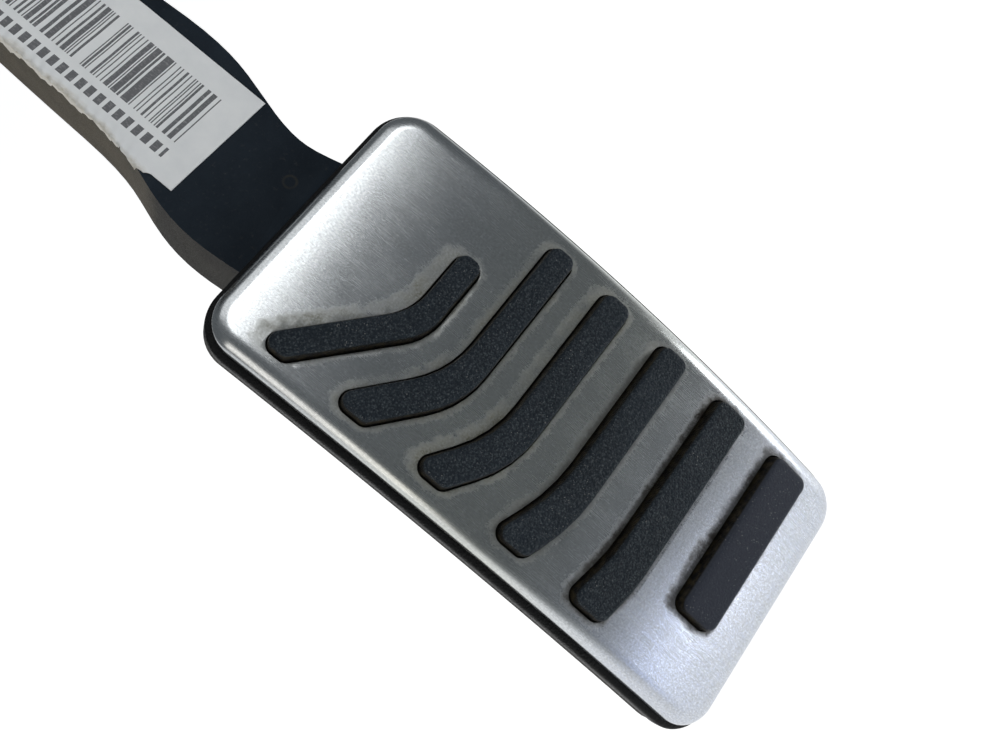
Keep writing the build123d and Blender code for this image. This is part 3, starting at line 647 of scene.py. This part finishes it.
# ==== Part label =========================================================================
# A paper sticker on the arm's front, 26 mm wide: grey-white, with a printed code of bars and a
# row of dashes. Its left edge is torn off along the arm's corner and has come up as fibres.
LABEL_WIDTH, LABEL_LOW, LABEL_LENGTH, LABEL_RIGHT = 0.026, 0.0822, 0.0555, 0.0148
LABEL_TURN = math.radians(1.8)
FACE_UP, FACE_OUT, FACE_SLOPE = 0.062, -0.015, -0.2
LABEL_LIFT = 0.00016
BAR_PITCH, BARS_X, BARS_FROM = 0.00026, (0.0053, 0.0182), 0.0062
DASH_PITCH, DASHES_X = 0.0024, (0.0199, 0.0222)
label_tilt = math.atan(FACE_SLOPE)
LABEL = PAD @ Matrix.Translation((LABEL_RIGHT, LABEL_LOW,
                                  FACE_OUT + FACE_SLOPE * (LABEL_LOW - FACE_UP))) \
    @ Matrix.Rotation(label_tilt, 4, "X") @ Matrix.Rotation(-LABEL_TURN, 4, "Z")
# LABEL's x runs to the right from the sticker's lower right corner, y up the arm, z off it.
COLUMNS, ROWS = 110, 170
# The arm's left corner, (up the pad, across), which the paper folds over.
ARM_CORNER = [(0.080, -0.0152), (0.0863, -0.0134), (0.093, -0.0110), (0.101, -0.0094),
              (0.112, -0.0086), (0.130, -0.0076), (0.150, -0.0065)]
verts, faces, spots, frays = [], [], [], []
for j in range(ROWS + 1):
    y = LABEL_LENGTH * j / ROWS
    corner_x = (LABEL_RIGHT - np.interp(LABEL_LOW + y, *zip(*ARM_CORNER))
                + math.tan(LABEL_TURN) * y)
    worn = min(max((y - 0.0045) / 0.004, 0), 1)
    edge = LABEL_WIDTH + worn * (0.0007 * math.sin(y * 700 + 2) + 0.0005 * math.sin(y * 2300)
                                 + 0.00012 * math.sin(y * 6100 + 1) + 0.0010)
    for i in range(COLUMNS + 1):
        q = edge * i / COLUMNS
        over = q - corner_x
        wave = 0.00003 * math.sin(q * 700 + y * 300) + 0.00002 * math.sin(y * 1300)
        crinkle = 0.00016 * worn * math.exp(-abs(over) / 0.0012)
        crinkle *= 1 + math.sin(y * 2700 + q * 900)
        if over < 0:
            verts.append((-q, y, LABEL_LIFT + wave + crinkle))
        else:
            verts.append((-corner_x - LABEL_LIFT * min(over / 0.0002, 1) - crinkle, y,
                          LABEL_LIFT - over))
        spots.append((-q, y, 0))
        frays.append(over)
for j in range(ROWS):
    for i in range(COLUMNS):
        a = j * (COLUMNS + 1) + i
        faces.append((a, a + COLUMNS + 1, a + COLUMNS + 2, a + 1))
raw = mesh_object("label_raw", verts, faces)
note(raw.data, "spot", spots, "FLOAT_VECTOR", "vector")
note(raw.data, "past_corner", frays)
paper_wall = raw.modifiers.new("paper", "SOLIDIFY")
paper_wall.thickness, paper_wall.offset = 0.0001, -1
sticker_mesh = baked(raw)
sticker_mesh.transform(LABEL)
sticker_mesh.name = "part_sticker"
sticker_mesh.shade_smooth()
sticker = shown("part_sticker", sticker_mesh)
paper, surface = shade("sticker_paper")
place = attribute(paper, "spot", "Vector")
fibre = stretched(paper, place, (2600, 900, 1), 5)
stain = stretched(paper, place, (160, 120, 1), 5)
frayed = maths(paper, attribute(paper, "past_corner"),
               ramp(paper, stain, 0.3, 0.7, -0.0012, 0.0012), "ADD")
frayed = ramp(paper, frayed, -0.0012, 0.0004)
white = mixed(paper, ramp(paper, stain, 0.35, 0.75), (0.70, 0.72, 0.73, 1),
              (0.78, 0.795, 0.795, 1))
white = mixed(paper, maths(paper, frayed, ramp(paper, fibre, 0.25, 0.7, 0.25, 1.0)), white,
              (0.47, 0.43, 0.34, 1))
from_edge = axes(paper, place)


def within(value, low, high):
    """One between two limits, nought outside them."""
    return maths(paper, maths(paper, value, low, "GREATER_THAN"),
                 maths(paper, value, high, "LESS_THAN"))


bar_cell = maths(paper, maths(paper, from_edge["Y"], BAR_PITCH, "DIVIDE"), 0, "FLOOR")
bar = add(paper, "ShaderNodeTexWhiteNoise", {"W": bar_cell}, noise_dimensions="1D").outputs[0]
bars = maths(paper, maths(paper, bar, 0.43, "GREATER_THAN"),
             maths(paper, within(from_edge["X"], -BARS_X[1], -BARS_X[0]),
                   within(from_edge["Y"], BARS_FROM, LABEL_LENGTH)))
dash = maths(paper, from_edge["Y"], DASH_PITCH, "MODULO")
dashes = maths(paper, within(dash, DASH_PITCH * 0.22, DASH_PITCH * 0.86),
               maths(paper, within(from_edge["X"], -DASHES_X[1], -DASHES_X[0]),
                     within(from_edge["Y"], BARS_FROM, LABEL_LENGTH)))
ink = maths(paper, maths(paper, bars, dashes, "MAXIMUM"),
            maths(paper, ramp(paper, fibre, 0.25, 0.5, 0.72, 0.92),
                  ramp(paper, frayed, 0.0, 0.5, 1.0, 0.0)))
white = mixed(paper, ink, white, (0.040, 0.042, 0.050, 1))
link(paper, white, surface.inputs["Base Color"])
surface.inputs["Roughness"].default_value = 0.55
height = maths(paper, maths(paper, fibre, 0.25), maths(paper, maths(paper, frayed, fibre), 2.5),
               "ADD")
bumped(paper, surface, height, 0.5, 0.00012)
sticker.data.materials.append(paper)
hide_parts("part_label")
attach(sticker, "pedal_body")

# ==== Backing plate and its screws =======================================================
# A phosphated steel plate behind the rubber takes three hexagon-socket screws, put in from
# behind through the arm's foot.
def metal(name, bright, dull, roughness, cell, bump_depth=0.00002):
    """A plated, ground or phosphated metal, mottled in patches of about one cell."""
    material, surface = shade(name)
    place = object_place(material)
    patches = stretched(material, place, (1 / cell,) * 3, 5)
    fine = stretched(material, place, (9 / cell,) * 3, 3)
    tone = mixed(material, ramp(material, patches, 0.3, 0.7), (*bright, 1), (*dull, 1))
    link(material, tone, surface.inputs["Base Color"])
    low, high = roughness
    link(material, ramp(material, fine, 0.3, 0.7, low, high), surface.inputs["Roughness"])
    surface.inputs["Metallic"].default_value = 1.0
    bumped(material, surface, fine, 0.4, bump_depth)
    return material


def fit_out(node, name, material, body):
    """A welded copy of a CAD node in its own finish, riding on its body."""
    piece = welded(node, name)
    piece.data.materials.append(material)
    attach(piece, body)
    return piece


SCREW_SIDES, SHANK = 48, 0.00145


def socket_screw(shank, head, height, length, key):
    """A turned screw along +Z, its head's seat at nought, with a hexagon socket."""
    bm = bmesh.new()
    edge = 0.12 * height
    profile = [(shank * 0.8, -length), (shank, -length + shank * 0.3), (shank, 0),
               (head - edge, 0), (head, edge), (head, height - 3 * edge),
               (head - edge, height - edge), (head - 3 * edge, height)]
    turns = [2 * math.pi * k / SCREW_SIDES for k in range(SCREW_SIDES)]
    rings = [[bm.verts.new((r * math.cos(t), r * math.sin(t), z)) for t in turns]
             for r, z in profile]
    for deep in (height, 0.4 * height):
        ring = []
        for t in turns:
            flat = (t + math.pi / 6) % (math.pi / 3) - math.pi / 6
            r = key * math.cos(math.pi / 6) / math.cos(flat)
            ring.append(bm.verts.new((r * math.cos(t), r * math.sin(t), deep)))
        rings.append(ring)
    for lower, upper in zip(rings, rings[1:]):
        band(bm, lower, upper)
    bm.faces.new(rings[0])
    bm.faces.new(rings[-1])
    bmesh.ops.recalc_face_normals(bm, faces=bm.faces[:])
    mesh = bpy.data.meshes.new("screw_pattern")
    bm.to_mesh(mesh)
    bm.free()
    mesh.shade_smooth()
    mesh.set_sharp_from_angle(angle=math.radians(40))
    return shown("screw_pattern", mesh)


def tree_for(name, sizes):
    """A Geometry Nodes tree with a named input for each size."""
    tree = bpy.data.node_groups.new(name, "GeometryNodeTree")
    tree.interface.new_socket("Geometry", in_out="OUTPUT", socket_type="NodeSocketGeometry")
    for label, kind in sizes.items():
        tree.interface.new_socket(label, in_out="INPUT", socket_type="NodeSocket" + kind)
    return tree, tree.nodes.new("NodeGroupInput").outputs, tree.nodes.new("NodeGroupOutput").inputs


def grown(tree, name, start_mesh, sizes):
    """The plain mesh that a Geometry Nodes tree makes with these sizes."""
    holder = shown(name, start_mesh)
    modifier = holder.modifiers.new(name, "NODES")
    modifier.node_group = tree
    for socket in tree.interface.items_tree:
        if socket.in_out == "INPUT" and socket.name in sizes:
            modifier[socket.identifier] = sizes[socket.name]
    mesh = baked(holder)
    mesh.name = name
    return shown(name, mesh)


fixings, given, result = tree_for("screws_on_points", {
    "Geometry": "Geometry", "Pattern": "Object", "Finish": "Material"})
facing = add(fixings, "GeometryNodeInputNamedAttribute", {"Name": "facing"},
             data_type="FLOAT_VECTOR")
heading = add(fixings, "FunctionNodeAlignRotationToVector", {
    "Vector": facing.outputs["Attribute"]}, axis="Z")
pattern = add(fixings, "GeometryNodeObjectInfo", {"Object": given["Pattern"]})
placed = add(fixings, "GeometryNodeInstanceOnPoints", {
    "Points": given["Geometry"], "Instance": pattern.outputs["Geometry"],
    "Rotation": heading.outputs["Rotation"]})
whole = add(fixings, "GeometryNodeRealizeInstances", {"Geometry": placed.outputs["Instances"]})
finished = add(fixings, "GeometryNodeSetMaterial", {
    "Geometry": whole.outputs["Geometry"], "Material": given["Finish"]})
fixings.links.new(finished.outputs["Geometry"], result["Geometry"])


def screws(name, places, headings, pattern, finish):
    """Screws at some places, their heads facing some headings."""
    points = bpy.data.meshes.new(name + "_points")
    points.from_pydata([tuple(p) for p in places], [], [])
    note(points, "facing", [tuple(h) for h in headings], "FLOAT_VECTOR", "vector")
    piece = grown(fixings, name, points, {"Pattern": pattern, "Finish": finish})
    bpy.data.objects.remove(pattern)
    return piece


phosphate = metal("phosphated_steel", (0.17, 0.175, 0.18), (0.10, 0.105, 0.11), (0.5, 0.7), 0.004)
fit_out("backing_plate", "pressed_backing_plate", phosphate, "pedal_body")
zinc = metal("bright_zinc", (0.60, 0.61, 0.60), (0.44, 0.46, 0.47), (0.25, 0.42), 0.003)
SCREW_SPOTS = [(-0.022, 0.035), (0.022, 0.035), (0.0, -0.052)]
HEAD_SEAT = -0.01075
flat_spots = np.array([(x, y, HEAD_SEAT) for x, y in SCREW_SPOTS])
seats = bend_over_crown(flat_spots)
behind = bend_over_crown(flat_spots - np.array((0, 0, 1)))
pad_screws = screws("pad_fixing_screws", seats, behind - seats,
                    socket_screw(SHANK, 0.0032, 0.0020, 0.0040, 0.0016), zinc)
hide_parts("pad_screws")
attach(pad_screws, "pedal_body")

# ==== Housing ============================================================================
# Glass-filled nylon moulding, black with a fine grain and a little grey dust. Steel
# sleeves are pressed into its three bolt holes, and two rubber blocks take the arm's stops.
shell = grained("housing_nylon", (0.010, 0.011, 0.012), (0.021, 0.022, 0.024),
                (0.44, 0.62), 0.00045, 0.00010, 0.10, (0.10, 0.10, 0.095))[0]
fit_out("housing", "moulded_housing", shell, "housing_body")
fit_out("mounting_sleeves", "pressed_sleeves", zinc, "housing_body")
block = grained("stop_rubber", (0.008, 0.008, 0.008), (0.016, 0.016, 0.016),
                (0.55, 0.75), 0.0004, 0.00008, 0.05)[0]
fit_out("idle_stop_bumper", "idle_stop_block", block, "housing_body")
fit_out("full_stop_bumper", "full_stop_block", block, "housing_body")

# ==== Pivot ==============================================================================
# A ground steel shaft turns with the arm in two flanged acetal bushes. Brown friction washers
# beside the hub give the pedal its drag, and a snap cap closes the right end.
ground = metal("ground_steel", (0.62, 0.62, 0.63), (0.52, 0.52, 0.53), (0.14, 0.24), 0.002)
fit_out("pivot_shaft", "ground_pivot_shaft", ground, "pedal_body")
acetal, surface = grained("natural_acetal", (0.62, 0.59, 0.50), (0.70, 0.67, 0.58),
                          (0.30, 0.42), 0.0009, 0.00003, 0.04)[:2]
surface.inputs["Subsurface Weight"].default_value = 0.15
surface.inputs["Subsurface Radius"].default_value = (0.001, 0.0008, 0.0006)
fit_out("pivot_bushes", "flanged_bushes", acetal, "housing_body")
friction = grained("friction_plastic", (0.075, 0.050, 0.028), (0.11, 0.075, 0.045),
                   (0.40, 0.60), 0.0005, 0.00004, 0.10)[0]
fit_out("friction_washers", "drag_washers", friction, "pedal_body")
cover_nylon = grained("cover_plastic", (0.022, 0.023, 0.025), (0.032, 0.033, 0.036),
                      (0.36, 0.50), 0.0006, 0.00006, 0.08, (0.12, 0.12, 0.11))[0]
fit_out("shaft_end_cap", "snap_cap", cover_nylon, "housing_body")

# ==== Angle sensor =======================================================================
# A ring magnet in an acetal carrier turns on the shaft's left end, in front of two hall chips
# on a green board. A dark cover with the plug socket closes the chamber over a silicone seal.
fit_out("magnet_carrier", "sensor_magnet_carrier", acetal, "pedal_body")
ferrite = metal("sintered_ferrite", (0.050, 0.050, 0.054), (0.028, 0.028, 0.031), (0.55, 0.75),
                0.0015, 0.00005)
fit_out("ring_magnet", "ferrite_ring", ferrite, "pedal_body")
fit_out("sensor_cover", "socketed_cover", cover_nylon, "housing_body")
silicone = grained("silicone", (0.42, 0.12, 0.035), (0.50, 0.16, 0.05),
                   (0.40, 0.55), 0.0007, 0.00003, 0.03)[0]
fit_out("sensor_cover_seal", "silicone_seal", silicone, "housing_body")

mask, surface = shade("solder_mask")
tracks = add(mask, "ShaderNodeTexVoronoi", {"Vector": object_place(mask), "Scale": 420.0},
             feature="DISTANCE_TO_EDGE").outputs["Distance"]
green = mixed(mask, ramp(mask, tracks, 0.10, 0.13, 1.0, 0.0), (0.006, 0.060, 0.022, 1),
              (0.016, 0.130, 0.050, 1))
link(mask, green, surface.inputs["Base Color"])
surface.inputs["Roughness"].default_value = 0.28
bumped(mask, surface, tracks, 0.3, 0.00002)
fit_out("circuit_board", "sensor_board", mask, "housing_body")
epoxy = grained("chip_epoxy", (0.010, 0.010, 0.010), (0.018, 0.018, 0.018),
                (0.50, 0.65), 0.0002, 0.00002, 0.0)[0]
fit_out("hall_chips", "hall_sensors", epoxy, "housing_body")
tin = metal("tinned_brass", (0.66, 0.60, 0.42), (0.55, 0.50, 0.36), (0.22, 0.36), 0.001)
fit_out("connector_terminals", "plug_pins", tin, "housing_body")

low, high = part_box("sensor_cover_screws")
HEAD_R, HEAD_HIGH = 0.0030, 0.0022
corners = [(low[0] + HEAD_HIGH, y, z) for y in (low[1] + HEAD_R, high[1] - HEAD_R)
           for z in (low[2] + HEAD_R, high[2] - HEAD_R)]
cover_screws = screws("cover_fixing_screws", corners, [(-1, 0, 0)] * 4,
                      socket_screw(SHANK, HEAD_R, HEAD_HIGH, high[0] - low[0] - HEAD_HIGH,
                                   0.0013), zinc)
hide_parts("sensor_cover_screws")
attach(cover_screws, "housing_body")

# ==== Return springs =====================================================================
# Two coils of oiled spring steel, one inside the other, between the housing's roof and a seat
# that rocks on the arm's tail pin. They shorten by nearly a fifth when the pedal goes down; here
# they are built at one length and fixed to the housing.
coiling, given, result = tree_for("coiled_wire", {
    "Mean Radius": "Float", "Wire": "Float", "Turns": "Float", "Rise": "Float",
    "Foot": "Vector", "Finish": "Material"})
path = add(coiling, "GeometryNodeCurveSpiral", {
    "Resolution": 32, "Rotations": given["Turns"], "Start Radius": given["Mean Radius"],
    "End Radius": given["Mean Radius"], "Height": given["Rise"]})
ring = add(coiling, "GeometryNodeCurvePrimitiveCircle", {
    "Resolution": 14, "Radius": maths(coiling, given["Wire"], 0.5)})
wire = add(coiling, "GeometryNodeCurveToMesh", {
    "Curve": path.outputs["Curve"], "Profile Curve": ring.outputs["Curve"], "Fill Caps": True})
placed = add(coiling, "GeometryNodeTransform", {"Geometry": wire.outputs["Mesh"],
                                                "Translation": given["Foot"]})
whole = add(coiling, "GeometryNodeRealizeInstances", {"Geometry": placed.outputs["Geometry"]})
finished = add(coiling, "GeometryNodeSetMaterial", {
    "Geometry": whole.outputs["Geometry"], "Material": given["Finish"]})
coiling.links.new(finished.outputs["Geometry"], result["Geometry"])
oiled = metal("oiled_spring_steel", (0.26, 0.27, 0.28), (0.16, 0.165, 0.17), (0.26, 0.42), 0.003)
for node, name, gauge, turns in (("return_spring_outer", "outer_return_coil", 0.0016, 6.0),
                                 ("return_spring_inner", "inner_return_coil", 0.0012, 8.0)):
    low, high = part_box(node)
    axis = [(low[k] + high[k]) / 2 for k in (0, 1)]
    coil = grown(coiling, name, bpy.data.meshes.new(name), {
        "Mean Radius": (high[0] - low[0] - gauge) / 2, "Wire": gauge, "Turns": turns,
        "Rise": high[2] - low[2] - gauge, "Foot": (*axis, low[2] + gauge / 2), "Finish": oiled})
    coil.data.shade_smooth()
    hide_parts(node)
    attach(coil, "housing_body")
    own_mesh(coil)
fit_out("spring_seat", "rocking_spring_seat", acetal, "seat_body")
